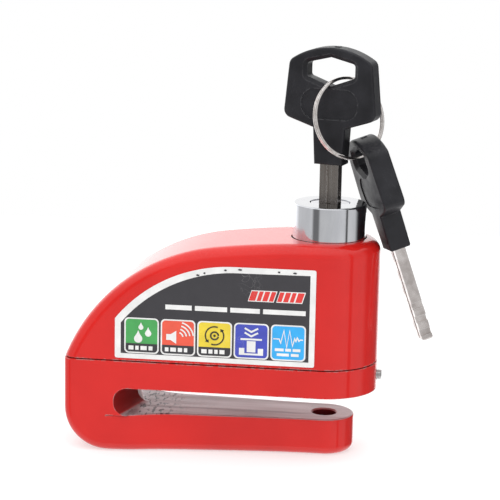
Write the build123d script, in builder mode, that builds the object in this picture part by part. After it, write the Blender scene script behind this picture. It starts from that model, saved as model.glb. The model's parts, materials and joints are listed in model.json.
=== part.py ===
from build123d import *
import os
from math import asin, cos, hypot, radians, sin

# Push-down disc brake lock with a shock alarm. Millimetres, +Z up, +X towards the pin end.
# The origin is on the base, straight under the locking pin.

os.makedirs("parts", exist_ok=True)

# ---- driving dimensions: body ----
half_depth = 16.3
x_left = -77.6
x_right = 15.6
z_arm_top = 11.3
z_slot_roof = 19.9
z_parting = 28.5
z_shell_top = 66.0
parting_gap = 0.4
nose_r = 13.0
edge_r = 4.0
heel_r = 2.5
wall = 2.2
crown_r = 240.0
crown_x = 33.0
slot_end_x = -62.4
slot_ridge_x = -57.8
arm_end_r = 9.0
arm_start_x = x_left + nose_r
nose_x = x_right - half_depth
z_deck = z_parting - parting_gap / 2
z_shell_low = z_parting + parting_gap / 2

# ---- driving dimensions: lock mechanism ----
cylinder_r = 11.0
z_cylinder_top = 76.3
z_cylinder_low = 44.0
pin_r = 3.0
z_pin_tip = 19.0
pin_hole_r = 3.6
z_hole_floor = 3.0
run_fit = 0.06
boss_r = 12.9
z_boss_top = 62.5
spring_pocket_r = 8.0
z_spring_floor = 23.1
tab_slot_x = -12.0
z_tab_slot = 31.0
tab_screw_x = -8.6
z_guide_screw = 48.0
guide_screw_r = 1.45
plug_r = 6.0
z_plug_low = 57.6
z_plug_top = 76.1
disc_r = 4.5
disc_count = 8
latch_wide = 5.0
z_latch_low = 50.0
latch_tall = 4.1
latch_left = -5.4
latch_long = 16.1
latch_spring_r = 1.1
cam_pin_at = (2 * cos(radians(20)), 2 * sin(radians(20)))

# ---- driving dimensions: cover screw and the lug it holds ----
z_cover_screw = 24.0
z_lug = 21.2
lug_x = 13.8
lug_wide = 6.0
lug_thick = 1.4
screw_shank_x = 13.1

# ---- driving dimensions: keys and ring ----
blade_wide = 5.8
blade_thick = 3.4
z_blade_tip = 58.8
z_neck = 88.0
z_shoulder = 98.9
z_head_top = 122.7
head_thick = 6.6
key_rest_deg = -14.0
ring_in_r = 11.3
ring_out_r = 12.4
ring_thick = 1.4
ring_yaw_deg = 39.5
ring_lean_deg = 18.0
hang_deg = 17.0
hang_spot = (1.0, 118.0)
spare_lean_deg = 19.0
spare_face_deg = 18.0


def save(part, label):
    part.label = label
    export_step(part, f"parts/{label}.step")


def plan_face(half):
    """Plan outline about the round right end's centre: straight sides that run on past the left end."""
    Rectangle(nose_x - x_left + 20, 2 * half, align=(Align.MAX, Align.CENTER))
    Circle(half)


def shell_side(inset, z_low):
    """Side outline: a steep nose arc that runs into a long shallow crown arc."""
    left = x_left + inset
    top = z_shell_top - inset
    big = crown_r - inset
    lean = asin(crown_x / crown_r)
    join = (-big * sin(lean), top - big * (1 - cos(lean)))
    away = (join[0] - left, join[1] - z_low)
    toward = (sin(lean), -cos(lean))
    small = -(away[0] ** 2 + away[1] ** 2) / (2 * (away[0] * toward[0] + away[1] * toward[1]))
    centre = (join[0] + small * toward[0], join[1] + small * toward[1])
    middle = (join[0] + left) / 2 - centre[0], (join[1] + z_low) / 2 - centre[1]
    reach = small / hypot(*middle)
    nose = (centre[0] + middle[0] * reach, centre[1] + middle[1] * reach)
    half_lean = lean / 2
    crown = (-big * sin(half_lean), top - big * (1 - cos(half_lean)))
    far = x_right + 10
    with BuildLine() as outline:
        ThreePointArc((left, z_low), nose, join)
        ThreePointArc(join, crown, (0, top))
        Polyline((0, top), (far, top), (far, z_low), (left, z_low))
    make_face(outline.edges())


def shell_block(inset, z_low, round_r):
    """The shell's outer block, or its cavity when inset, with its top edges rounded."""
    half = half_depth - inset
    with BuildPart() as block:
        with BuildSketch(Plane.XZ):
            shell_side(inset, z_low)
        extrude(amount=half, both=True)
        with BuildSketch(Plane.XY.offset(z_low).shift_origin((nose_x, 0, z_low))):
            plan_face(half)
        extrude(amount=z_shell_top, mode=Mode.INTERSECT)
        if round_r:
            low = z_low + 0.1
            rim = [
                e
                for e in block.edges()
                if e.bounding_box().max.Z > low
                and (
                    (abs(abs(e.center().Y) - half) < 0.01 and e.bounding_box().size.X > 1)
                    or (e.center().X > nose_x and e.bounding_box().min.Z > z_shell_top - inset - 0.1)
                )
            ]
            fillet(rim, round_r)
    return block.part


def body_side():
    """Side outline of the lower body: upright back end with a round heel."""
    heel = nose_r * (1 - sin(radians(45)))
    far = x_right + 10
    with BuildLine() as outline:
        Polyline((arm_start_x, 0), (far, 0), (far, z_deck), (x_left, z_deck), (x_left, nose_r))
        ThreePointArc((x_left, nose_r), (x_left + heel, heel), (arm_start_x, 0))
    make_face(outline.edges())


def arm_outline(points):
    """Plan outline of the lower arm at one height, widening from its round end to the body."""
    front = [(x, -y) for x, y in points]
    with BuildLine() as outline:
        Spline(*points, tangents=[(1, 0), (1, 0)])
        ThreePointArc(points[-1], (points[-1][0] + arm_end_r, 0), front[-1])
        Spline(*front[::-1], tangents=[(-1, 0), (-1, 0)])
        Line(front[0], points[0])
    make_face(outline.edges())


# ---- lower body: jaw arm, disc slot, upper jaw and the guide boss of the push cylinder ----
with BuildPart() as arm:
    with BuildSketch(Plane.XY):
        arm_outline([(arm_start_x, half_depth), (-51, 14.9), (-36, 12.5), (-18, 10.1), (0, arm_end_r)])
    with BuildSketch(Plane.XY.offset(z_arm_top)):
        arm_outline([(arm_start_x, half_depth), (-51, 12.3), (-36, 10.6), (-18, 9.6), (0, arm_end_r)])
    loft()
    arm_top = arm.edges().group_by(Axis.Z)[-1].sort_by(Axis.X)[1:]
    fillet(arm_top, 0.7)

slot_half = half_depth + 0.7
with BuildPart() as slot_cut:
    with BuildSketch(Plane.XY.offset(z_arm_top)):
        with BuildLine():
            Line((slot_end_x, -slot_half), (slot_ridge_x, 0))
            Line((slot_ridge_x, 0), (slot_end_x, slot_half))
            Polyline((slot_end_x, slot_half), (40, slot_half), (40, -slot_half), (slot_end_x, -slot_half))
        make_face()
    extrude(amount=z_slot_roof - z_arm_top)
    slot_corners = [e for e in slot_cut.edges() if slot_end_x < e.center().X < slot_ridge_x and e.length > 10]
    fillet(slot_corners, 3.9)

with BuildPart() as lower_body:
    with BuildSketch(Plane.XZ):
        body_side()
    extrude(amount=half_depth, both=True)
    with BuildSketch(Plane.XY.shift_origin((nose_x, 0, 0))):
        plan_face(half_depth)
    extrude(amount=z_parting, mode=Mode.INTERSECT)
    add(slot_cut.part, mode=Mode.SUBTRACT)
    with BuildSketch(Plane.XY.offset(-1)):
        with Locations((arm_start_x, 0)):
            Rectangle(100, 40, align=(Align.MIN, Align.CENTER))
    extrude(amount=z_arm_top + 1, mode=Mode.SUBTRACT)
    add(arm.part)
    heel = [
        e
        for e in lower_body.edges()
        if abs(abs(e.center().Y) - half_depth) < 0.01 and e.center().X < arm_start_x
    ]
    heel = [e for e in heel if e.center().Z < z_parting - 1]
    under = lower_body.edges().group_by(Axis.Z)[0].filter_by(lambda e: e.center().X > arm_start_x + 1)
    fillet(heel + under, heel_r)
    with BuildSketch(Plane.XY.offset(z_hole_floor)):
        Circle(pin_hole_r)
    extrude(amount=z_arm_top - z_hole_floor, mode=Mode.SUBTRACT)
    hole_rim = lower_body.edges().filter_by(GeomType.CIRCLE).filter_by(
        lambda e: abs(e.radius - pin_hole_r) < 0.01 and e.center().Z > z_arm_top - 0.1
    )
    chamfer(hole_rim, 0.4)
    with BuildSketch(Plane.XY.offset(z_deck)):
        Circle(boss_r)
    extrude(amount=z_boss_top - z_parting)
    with BuildSketch(Plane.XY.offset(z_deck)):
        Circle(cylinder_r + run_fit)
    extrude(amount=z_boss_top, mode=Mode.SUBTRACT)
    with BuildSketch(Plane.XY.offset(z_spring_floor)):
        Circle(spring_pocket_r)
    extrude(amount=z_parting - z_spring_floor, mode=Mode.SUBTRACT)
    with BuildSketch(Plane.XY.offset(z_slot_roof - 1)):
        Circle(pin_r + run_fit)
    extrude(amount=z_spring_floor - z_slot_roof + 2, mode=Mode.SUBTRACT)
    # upright slot in the boss for the switch tab, and the tapped hole of the guide screw
    with BuildSketch(Plane.XY.offset(z_tab_slot)):
        with Locations((tab_slot_x, 0)):
            Rectangle(4, 4.4)
    extrude(amount=z_boss_top - z_tab_slot, mode=Mode.SUBTRACT)
    with BuildSketch(Plane.XZ.offset(-boss_r - 0.5)):
        with Locations((0, z_guide_screw)):
            Circle(guide_screw_r + 0.05)
    extrude(amount=3, mode=Mode.SUBTRACT)
    # pocket for the shell's lug, the cover screw's hole and its spot face
    with BuildSketch(Plane.XY.offset(z_lug - 0.2)):
        with Locations((lug_x, 0)):
            Rectangle(lug_thick + 0.2, lug_wide + 0.4)
    extrude(amount=z_parting - z_lug + 0.2, mode=Mode.SUBTRACT)
    with BuildSketch(Plane.YZ.offset(lug_x)):
        with Locations((0, z_cover_screw)):
            Circle(1.1)
    extrude(amount=3, mode=Mode.SUBTRACT)
    with BuildSketch(Plane.YZ.offset(x_right - 0.25)):
        with Locations((0, z_cover_screw)):
            Circle(1.9)
    extrude(amount=1, mode=Mode.SUBTRACT)
save(lower_body.part, "lower_body")

# ---- upper shell with its cavity, cylinder hole, seal seat and screw lug ----
with BuildPart() as upper_shell:
    add(shell_block(0, z_shell_low, edge_r))
    add(shell_block(wall, z_shell_low, 0), mode=Mode.SUBTRACT)
    with BuildSketch(Plane.XY.offset(z_boss_top)):
        Circle(cylinder_r + 0.35)
    extrude(amount=10, mode=Mode.SUBTRACT)
    with BuildSketch(Plane.XY.offset(z_boss_top)):
        Circle(boss_r)
    extrude(amount=2.4, mode=Mode.SUBTRACT)
    with BuildSketch(Plane.XY.offset(z_lug)):
        with Locations((lug_x, 0)):
            Rectangle(lug_thick, lug_wide)
    extrude(amount=10)
    with BuildSketch(Plane.YZ.offset(lug_x - lug_thick)):
        with Locations((0, z_cover_screw)):
            Circle(0.8)
    extrude(amount=3, mode=Mode.SUBTRACT)
save(upper_shell.part, "upper_shell")

# ---- rubber gasket in the parting line, set in from the outside and open at the lug ----
gasket_set = 0.8
gasket_half = half_depth - gasket_set
gasket_wide = 1.2
with BuildPart() as shell_gasket:
    with BuildSketch(Plane.XY.offset(z_deck).shift_origin((nose_x, 0, z_deck))) as band:
        Rectangle(nose_x - x_left - gasket_set, 2 * gasket_half, align=(Align.MAX, Align.CENTER))
        Circle(gasket_half)
        fillet(band.vertices().group_by(Axis.X)[0], 3)
        offset(amount=-gasket_wide, mode=Mode.SUBTRACT)
        with Locations((half_depth, 0)):
            Rectangle(8, lug_wide + 0.6, mode=Mode.SUBTRACT)
    extrude(amount=parting_gap)
save(shell_gasket.part, "shell_gasket")

# ---- parts of the push cylinder ----
with BuildPart() as lock_cylinder:
    with BuildSketch(Plane.XY.offset(z_cylinder_low)):
        Circle(cylinder_r)
    extrude(amount=z_cylinder_top - z_cylinder_low)
    fillet(lock_cylinder.edges().group_by(Axis.Z)[-1], 0.5)
    chamfer(lock_cylinder.edges().group_by(Axis.Z)[0], 0.6)
    with BuildSketch(Plane.XY.offset(z_latch_low + latch_tall + 1)):
        Circle(plug_r + run_fit)
    extrude(amount=z_cylinder_top, mode=Mode.SUBTRACT)
    with BuildSketch(Plane.XY.offset(z_latch_low + latch_tall / 2)):
        Circle(3.3)
    extrude(amount=latch_tall, mode=Mode.SUBTRACT)
    with BuildSketch(Plane.XY.offset(z_latch_low - 0.05)):
        with Locations((-8, 0)):
            Rectangle(20, latch_wide + 0.1, align=(Align.MIN, Align.CENTER))
    extrude(amount=latch_tall + 0.1, mode=Mode.SUBTRACT)
    with BuildSketch(Plane.XY.offset(z_cylinder_low)):
        Circle(pin_r + 0.05)
    extrude(amount=5, mode=Mode.SUBTRACT)
    with BuildSketch(Plane.XZ.offset(-cylinder_r - 1)):
        with Locations((0, 53.4)):
            SlotOverall(14.6, 3.4, rotation=90)
    extrude(amount=2, mode=Mode.SUBTRACT)
    with BuildSketch(Plane.XY.offset(z_cylinder_low)):
        with Locations((tab_screw_x, 0)):
            Circle(1.0)
    extrude(amount=3.5, mode=Mode.SUBTRACT)
save(lock_cylinder.part, "lock_cylinder")

with BuildPart() as locking_pin:
    with BuildSketch(Plane.XY.offset(z_pin_tip)):
        Circle(pin_r)
    extrude(amount=z_cylinder_low + 4.9 - z_pin_tip)
    with BuildSketch(Plane.XY.offset(z_cylinder_low - 1.4)):
        Circle(4.4)
    extrude(amount=1.4)
    chamfer(locking_pin.edges().group_by(Axis.Z)[0], 0.7)
save(locking_pin.part, "locking_pin")

with BuildPart() as switch_tab:
    with BuildSketch(Plane.XY.offset(z_cylinder_low - 1)):
        with Locations((-11.5, 0)):
            RectangleRounded(9.6, 3.8, 0.6)
        with Locations((tab_screw_x, 0)):
            Circle(1.1, mode=Mode.SUBTRACT)
    extrude(amount=1)
save(switch_tab.part, "switch_tab")

with BuildPart() as tab_screw:
    with BuildSketch(Plane.XY.offset(z_cylinder_low - 1)):
        with Locations((tab_screw_x, 0)):
            Circle(0.95)
    extrude(amount=4.2)
    with BuildSketch(Plane.XY.offset(z_cylinder_low - 2)):
        with Locations((tab_screw_x, 0)):
            Circle(1.8)
    extrude(amount=1)
    with BuildSketch(Plane.XY.offset(z_cylinder_low - 2)):
        with Locations((tab_screw_x, 0)):
            Rectangle(2.2, 0.5)
            Rectangle(0.5, 2.2)
    extrude(amount=0.6, mode=Mode.SUBTRACT)
save(tab_screw.part, "tab_screw")

# the latch's top groove is crossed by the cam's pin
with BuildPart() as latch_bolt:
    with BuildSketch(Plane.XY.offset(z_latch_low)):
        with Locations((latch_left, 0)):
            Rectangle(latch_long, latch_wide, align=(Align.MIN, Align.CENTER))
    extrude(amount=latch_tall)
    fillet(latch_bolt.edges().filter_by(Axis.Z).group_by(Axis.X)[-1], 1.2)
    with BuildSketch(Plane.YZ.offset(latch_left)):
        with Locations((0, z_latch_low + latch_tall / 2)):
            Circle(latch_spring_r + 0.05)
    extrude(amount=2.4, mode=Mode.SUBTRACT)
    with BuildSketch(Plane.XY.offset(z_latch_low + latch_tall / 2)):
        with Locations((1.75, 0)):
            Rectangle(3.1, latch_wide + 1)
    extrude(amount=latch_tall, mode=Mode.SUBTRACT)
save(latch_bolt.part, "latch_bolt")

with BuildPart() as latch_spring:
    with BuildSketch(Plane.YZ.offset(latch_left - 1.25)):
        with Locations((0, z_latch_low + latch_tall / 2)):
            Circle(latch_spring_r)
            Circle(latch_spring_r - 0.4, mode=Mode.SUBTRACT)
    extrude(amount=3.55)
save(latch_spring.part, "latch_spring")

# ---- rotating plug, its discs and the cam under it ----
key_plane = Plane(
    origin=(0, 0, 0),
    x_dir=(cos(radians(key_rest_deg)), sin(radians(key_rest_deg)), 0),
    z_dir=(sin(radians(key_rest_deg)), -cos(radians(key_rest_deg)), 0),
)
keyway = (blade_wide + 0.3, blade_thick + 0.3)

with BuildPart() as key_plug:
    with BuildSketch(Plane.XY.offset(z_plug_low)):
        Circle(plug_r)
    extrude(amount=z_plug_top - z_plug_low)
    chamfer(key_plug.edges().group_by(Axis.Z)[-1], 0.3)
    with BuildSketch(Plane.XY.offset(z_plug_low + 1)):
        Circle(disc_r + 0.05)
    extrude(amount=z_plug_top - z_plug_low - 2.2, mode=Mode.SUBTRACT)
    with BuildSketch(Plane.XY.offset(z_plug_low + 1)):
        Rectangle(*keyway, rotation=key_rest_deg)
    extrude(amount=z_plug_top, mode=Mode.SUBTRACT)
    with BuildSketch(Plane.XY.offset(z_plug_low)):
        Rectangle(3, 3)
    extrude(amount=0.6, mode=Mode.SUBTRACT)
save(key_plug.part, "key_plug")

with BuildPart() as tumbler_discs:
    for i in range(disc_count):
        with BuildSketch(Plane.XY.offset(z_plug_low + 1.1 + 2 * i)):
            Circle(disc_r)
            Rectangle(*keyway, rotation=key_rest_deg, mode=Mode.SUBTRACT)
        extrude(amount=1.6)
save(tumbler_discs.part, "tumbler_discs")

with BuildPart() as cam:
    with BuildSketch(Plane.XY.offset(z_latch_low + latch_tall + 1.2)):
        Circle(5.6)
    extrude(amount=z_plug_low - z_latch_low - latch_tall - 1.2)
    with BuildSketch(Plane.XY.offset(z_plug_low)):
        Rectangle(2.9, 2.9)
    extrude(amount=0.5)
    with BuildSketch(Plane.XY.offset(z_latch_low + latch_tall / 2 + 0.2)):
        with Locations(cam_pin_at):
            Circle(1.0)
    extrude(amount=latch_tall)
save(cam.part, "cam")


# ---- keys ----
def key_blade(plane):
    """Flat blade with a groove down each face and stepped cuts along both edges near its tip."""
    with BuildPart() as blade:
        with BuildSketch(plane):
            with Locations((0, z_blade_tip)):
                Rectangle(blade_wide, z_neck + 7.9 - z_blade_tip, align=(Align.CENTER, Align.MIN))
        extrude(amount=blade_thick / 2, both=True)
        chamfer(blade.faces().filter_by(lambda f: f.area < 25).sort_by(Axis.Z)[0].edges(), 0.5)
        for side in (-1, 1):
            with BuildSketch(plane.offset(side * blade_thick / 2)):
                with Locations((0, z_blade_tip)):
                    Rectangle(1.4, z_neck + 10 - z_blade_tip, align=(Align.CENTER, Align.MIN))
            extrude(amount=0.5, both=True, mode=Mode.SUBTRACT)
            for i in range(3):
                with BuildSketch(plane):
                    with Locations((side * blade_wide / 2, z_blade_tip + 2.6 + 4.2 * i)):
                        Rectangle(0.9 + 0.5 * ((i + side) % 3), 1.9)
                extrude(amount=blade_thick, both=True, mode=Mode.SUBTRACT)
    return blade.part


def key_head(plane):
    """Moulded head: arched top, ring window with bevelled rims, oval thumb recesses and a narrow neck."""
    with BuildPart() as head:
        with BuildSketch(plane) as outline:
            with BuildLine() as edge:
                ThreePointArc((-12.8, 118.4), (0, z_head_top), (12.8, 118.4))
                Polyline((12.8, 118.4), (14.4, 102.0), (5.0, z_shoulder), (4.4, z_neck))
                Polyline((4.4, z_neck), (-4.4, z_neck), (-5.0, z_shoulder), (-14.4, 102.0), (-12.8, 118.4))
            make_face(edge.edges())
            fillet(outline.vertices().filter_by(lambda v: abs(v.X) > 12), 2.6)
        extrude(amount=head_thick / 2, both=True)
        fillet(head.faces().filter_by(lambda f: f.is_planar and f.area > 400).edges(), 0.7)
        with BuildSketch(plane) as window:
            with BuildLine() as edge:
                Polyline((0, 111.2), (7.4, 113.9), (7.4, 118.0), (0, 119.8))
                Polyline((0, 119.8), (-7.4, 118.0), (-7.4, 113.9), (0, 111.2))
            make_face(edge.edges())
            fillet(window.vertices().filter_by(lambda v: abs(v.X) > 1), 1.0)
        extrude(amount=head_thick, both=True, mode=Mode.SUBTRACT)
        window_rims = [
            e
            for e in head.edges()
            if abs(abs(plane.to_local_coords(e.center()).Z) - head_thick / 2) < 0.01
            and plane.to_local_coords(e.center()).Y > 110
            and abs(plane.to_local_coords(e.center()).X) < 8
            and plane.to_local_coords(e.center()).Y < 120
        ]
        chamfer(window_rims, 1.1)
        for side in (-1, 1):
            with BuildSketch(plane.offset(side * head_thick / 2)):
                with Locations((0, 106.0)):
                    RectangleRounded(17.4, 9, 4)
            extrude(amount=0.35, both=True, mode=Mode.SUBTRACT)
        with BuildSketch(plane):
            with Locations((1.2, z_head_top - 0.4)):
                RectangleRounded(1.8, 1.2, 0.3)
        extrude(amount=0.9, both=True)
        with BuildSketch(plane):
            with Locations((0, z_neck)):
                Rectangle(blade_wide, 8, align=(Align.CENTER, Align.MIN))
        extrude(amount=blade_thick / 2, both=True, mode=Mode.SUBTRACT)
    return head.part


key_blade_part = key_blade(key_plane)
save(key_blade_part, "key_blade")
key_head_part = key_head(key_plane)
save(key_head_part, "key_head")

# ---- split ring: hangs in the key's window and leans out past the neck ----
ring_mid_r = (ring_in_r + ring_out_r) / 2
ring_top = key_plane.from_local_coords(Vector(1.5, 113.2, 0))
ring_down = (
    key_plane.x_dir * sin(radians(ring_lean_deg)) - Vector(0, 0, 1) * cos(radians(ring_lean_deg))
).normalized()
ring_flat = Vector(cos(radians(ring_yaw_deg)), sin(radians(ring_yaw_deg)), 0)
ring_across = (ring_flat - ring_down * ring_flat.dot(ring_down)).normalized()
ring_centre = ring_top + ring_down * ring_mid_r
ring_plane = Plane(origin=ring_centre, x_dir=ring_across, z_dir=ring_across.cross(ring_down * -1))

with BuildPart() as split_ring:
    with BuildSketch(ring_plane):
        Circle(ring_out_r)
        Circle(ring_in_r, mode=Mode.SUBTRACT)
    extrude(amount=ring_thick / 2, both=True)
    fillet(split_ring.edges(), 0.4)
save(split_ring.part, "split_ring")

# ---- spare key: hangs on the ring by the top bar of its window ----
hang = ring_centre + (
    ring_down * cos(radians(hang_deg)) + ring_across * sin(radians(hang_deg))
) * ring_mid_r
spare_up = Vector(-sin(radians(spare_lean_deg)), 0, cos(radians(spare_lean_deg)))
face_out = Vector(-cos(radians(spare_face_deg)), -sin(radians(spare_face_deg)), 0)
spare_normal = (face_out - spare_up * face_out.dot(spare_up)).normalized()
spare_across = spare_up.cross(spare_normal)
spare_origin = hang - spare_up * hang_spot[1] - spare_across * hang_spot[0]
spare_plane = Plane(origin=spare_origin, x_dir=spare_across, z_dir=spare_normal)
spare_blade_part = key_blade(spare_plane)
save(spare_blade_part, "spare_key_blade")
spare_head_part = key_head(spare_plane)
save(spare_head_part, "spare_key_head")

# ---- fasteners, seal and guide screw ----
with BuildPart() as cover_screw:
    with BuildSketch(Plane.YZ.offset(x_right - 0.25)):
        with Locations((0, z_cover_screw)):
            Circle(1.5)
    extrude(amount=1.7)
    fillet(cover_screw.edges().group_by(Axis.X)[-1], 0.4)
    with BuildSketch(Plane.YZ.offset(x_right + 0.7)):
        with Locations((0, z_cover_screw)):
            RegularPolygon(0.8, 6)
    extrude(amount=1, mode=Mode.SUBTRACT)
    with BuildSketch(Plane.YZ.offset(screw_shank_x)):
        with Locations((0, z_cover_screw)):
            Circle(0.75)
    extrude(amount=x_right - screw_shank_x - 0.1)
save(cover_screw.part, "cover_screw")

with BuildPart() as wiper_ring:
    with BuildSketch(Plane.XY.offset(z_boss_top + 0.05)):
        Circle(boss_r - 0.1)
        Circle(cylinder_r + run_fit, mode=Mode.SUBTRACT)
    extrude(amount=2.3)
save(wiper_ring.part, "wiper_ring")

with BuildPart() as guide_screw:
    with BuildSketch(Plane.XZ.offset(-boss_r)):
        with Locations((0, z_guide_screw)):
            Circle(guide_screw_r)
    extrude(amount=2.4)
    with BuildSketch(Plane.XZ.offset(-boss_r)):
        with Locations((0, z_guide_screw)):
            RegularPolygon(0.8, 6)
    extrude(amount=0.9, mode=Mode.SUBTRACT)
save(guide_screw.part, "guide_screw")

# ---- return spring round the locking pin ----
spring_r = 5.6
wire_r = 0.6
spring_turns = 6
spring_high = z_cylinder_low - z_spring_floor - 2 * wire_r - 0.1
with BuildPart() as return_spring:
    with BuildLine(Plane.XY.offset(z_spring_floor + wire_r + 0.05)) as coil:
        Helix(spring_high / spring_turns, spring_high, spring_r)
    with BuildSketch(Plane(origin=coil.line @ 0, z_dir=coil.line % 0)):
        Circle(wire_r)
    sweep(is_frenet=True)
save(return_spring.part, "return_spring")

# ---- printed label on the near side ----
with BuildPart() as front_label:
    with BuildSketch(Plane.XZ.offset(half_depth)) as label_face:
        with BuildLine() as edge:
            ThreePointArc((-61.8, 41.6), (-46.2, 54.2), (-27.5, 58.8))
            Polyline((-27.5, 58.8), (-2.0, 58.9), (-2.0, 29.5), (-61.8, 29.5), (-61.8, 41.6))
        make_face(edge.edges())
        fillet(label_face.vertices(), 0.6)
    extrude(amount=0.2)
save(front_label.part, "front_label")

# ---- alarm unit under the shell ----
z_board = 44.0
board_thick = 1.6
tray_left = -63.0
tray_right = -18.0
post_spots = [(-57.5, -9.5), (-57.5, 9.5), (-21.0, -9.5), (-21.0, 9.5)]
cell_r = 5.8
cell_long = 5.2
cell_pitch = 5.25
cell_count = 6
cell_left = -54.6
z_cells = 37.4

with BuildPart() as alarm_tray:
    with BuildSketch(Plane.XY.offset(z_deck)):
        with Locations(((tray_left + tray_right) / 2, 0)):
            RectangleRounded(tray_right - tray_left, 26, 2)
    extrude(amount=1.5)
    with BuildSketch(Plane.XY.offset(z_deck)):
        with Locations(*post_spots):
            Circle(1.9)
    extrude(amount=z_board - z_deck)
    with BuildSketch(Plane.XY.offset(z_board - 6)):
        with Locations(*post_spots):
            Circle(0.85)
    extrude(amount=6, mode=Mode.SUBTRACT)
save(alarm_tray.part, "alarm_tray")

with BuildPart() as battery_holder:
    with BuildSketch(Plane.XY.offset(z_deck + 1.5)):
        with Locations((cell_left - 2, 0)):
            Rectangle(cell_count * cell_pitch + 4, 14, align=(Align.MIN, Align.CENTER))
    extrude(amount=z_cells - z_deck - 1.5)
    with BuildSketch(Plane.YZ.offset(cell_left - 0.5)):
        with Locations((0, z_cells)):
            Circle(cell_r + 0.2)
    extrude(amount=cell_count * cell_pitch + 1, mode=Mode.SUBTRACT)
save(battery_holder.part, "battery_holder")

with BuildPart() as button_cells:
    for i in range(cell_count):
        with BuildSketch(Plane.YZ.offset(cell_left + cell_pitch * i)):
            with Locations((0, z_cells)):
                Circle(cell_r)
        extrude(amount=cell_long)
save(button_cells.part, "button_cells")

with BuildPart() as battery_contacts:
    for x in (cell_left - 0.45, cell_left + cell_count * cell_pitch + 0.05):
        with BuildSketch(Plane.YZ.offset(x)):
            with Locations((0, z_cells + 1)):
                Rectangle(6, 8)
        extrude(amount=0.3)
save(battery_contacts.part, "battery_contacts")

with BuildPart() as circuit_board:
    with BuildSketch(Plane.XY.offset(z_board)):
        with Locations(((tray_left + 1.5 + tray_right) / 2, 0)):
            RectangleRounded(tray_right - tray_left - 1.5, 24.5, 1.5)
        with Locations(*post_spots):
            Circle(1.05, mode=Mode.SUBTRACT)
    extrude(amount=board_thick)
save(circuit_board.part, "circuit_board")

with BuildPart() as board_screws:
    for x, y in post_spots:
        with BuildSketch(Plane.XY.offset(z_board + board_thick)):
            with Locations((x, y)):
                Circle(1.7)
        extrude(amount=1.1)
        with BuildSketch(Plane.XY.offset(z_board - 4)):
            with Locations((x, y)):
                Circle(0.8)
        extrude(amount=board_thick + 4.2)
        with BuildSketch(Plane.XY.offset(z_board + board_thick + 0.5)):
            with Locations((x, y)):
                Rectangle(2.2, 0.5)
                Rectangle(0.5, 2.2)
        extrude(amount=1, mode=Mode.SUBTRACT)
save(board_screws.part, "board_screws")

z_on_board = z_board + board_thick
siren_x = -37.0
with BuildPart() as siren:
    with BuildSketch(Plane.XY.offset(z_on_board)):
        with Locations((siren_x, 0)):
            Circle(11)
    extrude(amount=9)
    fillet(siren.edges().group_by(Axis.Z)[-1], 0.8)
    with BuildSketch(Plane.XY.offset(z_on_board + 6)):
        with Locations((siren_x, 0)):
            Circle(2.2)
    extrude(amount=4, mode=Mode.SUBTRACT)
save(siren.part, "siren")

with BuildPart() as shock_sensor:
    with BuildSketch(Plane.XZ.offset(-4.5)):
        with Locations((-53.5, z_on_board + 2.3)):
            Circle(2.25)
    extrude(amount=9)
    fillet(shock_sensor.edges(), 0.4)
save(shock_sensor.part, "shock_sensor")

with BuildPart() as control_chip:
    with BuildSketch(Plane.XY.offset(z_on_board)):
        with Locations((-22, 0)):
            Rectangle(5, 8)
    extrude(amount=1.7)
    chamfer(control_chip.edges().group_by(Axis.Z)[-1], 0.25)
save(control_chip.part, "control_chip")

with BuildPart() as capacitor:
    with BuildSketch(Plane.XY.offset(z_on_board)):
        with Locations((-51.5, 8.8)):
            Circle(2.0)
    extrude(amount=5)
    fillet(capacitor.edges().group_by(Axis.Z)[-1], 0.4)
save(capacitor.part, "capacitor")

# ---- arming switch beside the boss, under the cylinder's tab ----
z_switch_top = 31.2
plunger_x = -15.0
with BuildPart() as arming_switch:
    with BuildSketch(Plane.XY.offset(z_deck)):
        with Locations((-15.5, 0)):
            Rectangle(3.6, 6.4)
    extrude(amount=z_switch_top - z_deck)
    with BuildSketch(Plane.XY.offset(z_switch_top - 2)):
        with Locations((plunger_x, 0)):
            Circle(0.86)
    extrude(amount=2, mode=Mode.SUBTRACT)
save(arming_switch.part, "arming_switch")

with BuildPart() as switch_plunger:
    with BuildSketch(Plane.XY.offset(z_switch_top - 1.2)):
        with Locations((plunger_x, 0)):
            Circle(0.8)
    extrude(amount=2.2)
    fillet(switch_plunger.edges().group_by(Axis.Z)[-1], 0.25)
save(switch_plunger.part, "switch_plunger")
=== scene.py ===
import json
from math import atan2, cos, pi, radians, sin

import bmesh
import bpy
import numpy as np
from mathutils import Matrix, Vector


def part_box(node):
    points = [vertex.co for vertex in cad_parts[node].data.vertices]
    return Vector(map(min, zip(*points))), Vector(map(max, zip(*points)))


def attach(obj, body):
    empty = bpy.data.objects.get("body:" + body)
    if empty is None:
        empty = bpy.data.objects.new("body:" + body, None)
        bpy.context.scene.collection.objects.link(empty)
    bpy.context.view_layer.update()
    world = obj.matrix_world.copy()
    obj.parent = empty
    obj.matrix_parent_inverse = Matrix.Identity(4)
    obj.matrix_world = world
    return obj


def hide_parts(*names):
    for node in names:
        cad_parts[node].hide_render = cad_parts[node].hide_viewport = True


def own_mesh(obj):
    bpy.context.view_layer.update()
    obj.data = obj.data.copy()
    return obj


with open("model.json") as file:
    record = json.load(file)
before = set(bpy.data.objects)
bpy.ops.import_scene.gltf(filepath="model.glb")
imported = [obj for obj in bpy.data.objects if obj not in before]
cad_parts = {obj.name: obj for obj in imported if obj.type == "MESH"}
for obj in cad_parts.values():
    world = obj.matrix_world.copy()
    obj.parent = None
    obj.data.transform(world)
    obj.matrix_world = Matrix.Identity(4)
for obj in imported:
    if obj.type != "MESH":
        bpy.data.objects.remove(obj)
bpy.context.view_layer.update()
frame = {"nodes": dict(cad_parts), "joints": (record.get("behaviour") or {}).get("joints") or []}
nodes = frame["nodes"]
joints = {joint["name"]: joint for joint in frame["joints"]}
mm = 0.001
print("frame loaded:", len(nodes), "nodes")


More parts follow.
